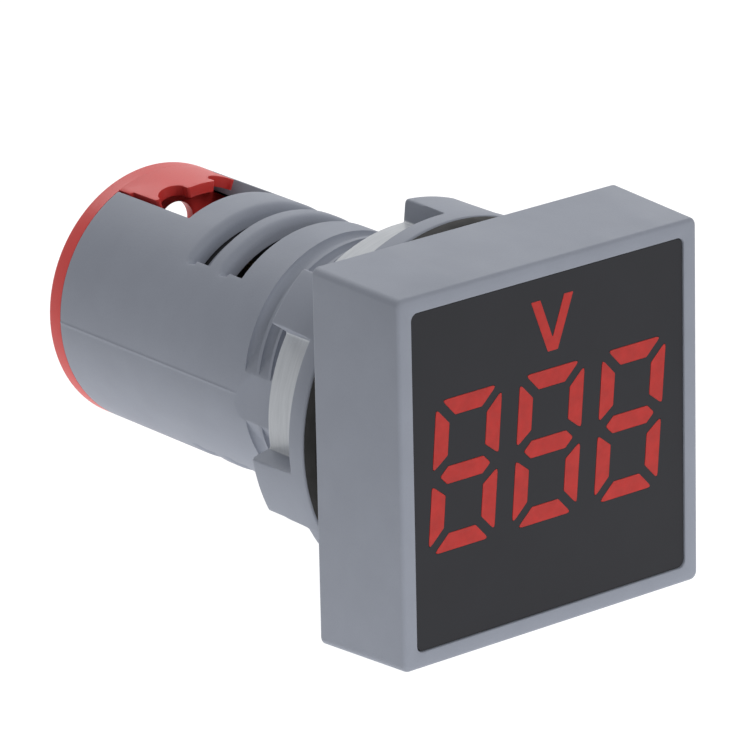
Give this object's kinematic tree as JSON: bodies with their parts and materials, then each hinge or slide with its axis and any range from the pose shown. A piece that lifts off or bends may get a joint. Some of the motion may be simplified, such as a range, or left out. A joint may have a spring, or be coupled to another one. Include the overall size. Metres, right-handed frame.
{
  "type": "digital panel meter",
  "caption": "Square-faced seven-segment panel meter on a threaded round barrel with a ring nut, a gasket and a red terminal cover.",
  "frame": {"origin": "on the barrel's axis, in the plane where the head meets the gasket", "axes": "+Y runs along the barrel from the display to the terminals, +Z is the display's up, +X is to the right of someone who reads the display"},
  "size_m": [0.0308, 0.0504, 0.0308],
  "materials": {
    "grey_plastic": "fine satin moulded grey",
    "smoked_face": "dark smoked, faint satin",
    "red_segments": "tinted translucent red",
    "white_plastic": "plain white",
    "board_laminate": "green solder mask",
    "chip_package": "black moulded",
    "gold_pins": "plated pins",
    "capacitor_case": "dipped brown red",
    "capacitor_sleeve": "black sleeve",
    "resistor_body": "lacquered blue grey",
    "black_rubber": "matt black",
    "red_plastic": "satin red",
    "black_plastic": "heat resistant black moulding",
    "terminal_brass": "stamped brass",
    "plated_steel": "bright zinc",
    "tinned_copper": "tinned wire"
  },
  "bodies": {
    "root": {"bezel": "grey_plastic", "face_panel": "smoked_face", "digit_left": "red_segments", "digit_middle": "red_segments", "digit_right": "red_segments", "display_module": "white_plastic", "display_board": "board_laminate", "driver_chip": "chip_package", "board_header": "gold_pins", "power_board": "board_laminate", "film_capacitor": "capacitor_case", "filter_capacitor": "capacitor_sleeve", "bridge_rectifier": "chip_package", "dropper_resistors": "resistor_body", "barrel": "grey_plastic", "terminal_base": "black_plastic", "upper_terminal": "terminal_brass", "lower_terminal": "terminal_brass", "lead_wires": "tinned_copper"},
    "gasket": {"gasket": "black_rubber"},
    "ring_nut": {"ring_nut": "grey_plastic"},
    "rear_cover": {"rear_cover": "red_plastic"},
    "upper_clamp": {"upper_clamp": "plated_steel"},
    "lower_clamp": {"lower_clamp": "plated_steel"},
    "upper_screw": {"upper_screw": "plated_steel"},
    "lower_screw": {"lower_screw": "plated_steel"}
  },
  "joints": [
    {"name": "gasket_slide", "type": "slide", "parent": "root", "child": "gasket", "axis": [0, 1, 0], "range_m": [0, 0.0132]},
    {"name": "nut_turn", "type": "hinge", "parent": "gasket", "child": "ring_nut", "pos_m": [0, 0.0015, 0], "axis": [0, 1, 0], "range_deg": [0, 1590]},
    {"name": "cover_pull", "type": "slide", "parent": "root", "child": "rear_cover", "axis": [0, 1, 0], "range_m": [0, 0.008]},
    {"name": "upper_clamp_lift", "type": "slide", "parent": "root", "child": "upper_clamp", "axis": [0, 1, 0], "range_m": [0, 0.002]},
    {"name": "upper_screw_turn", "type": "hinge", "parent": "upper_clamp", "child": "upper_screw", "pos_m": [0, 0.0314, 0.0066], "axis": [0, 1, 0], "range_deg": [0, 1450]},
    {"name": "lower_clamp_lift", "type": "slide", "parent": "root", "child": "lower_clamp", "axis": [0, 1, 0], "range_m": [0, 0.002]},
    {"name": "lower_screw_turn", "type": "hinge", "parent": "lower_clamp", "child": "lower_screw", "pos_m": [0, 0.0314, -0.0066], "axis": [0, 1, 0], "range_deg": [0, 1450]}
  ],
  "couplings": [
    {"joint": "nut_turn", "follows": "gasket_slide", "rad_per_m": 2094.4},
    {"joint": "upper_screw_turn", "follows": "upper_clamp_lift", "rad_per_m": 12566},
    {"joint": "lower_screw_turn", "follows": "lower_clamp_lift", "rad_per_m": 12566}
  ]
}
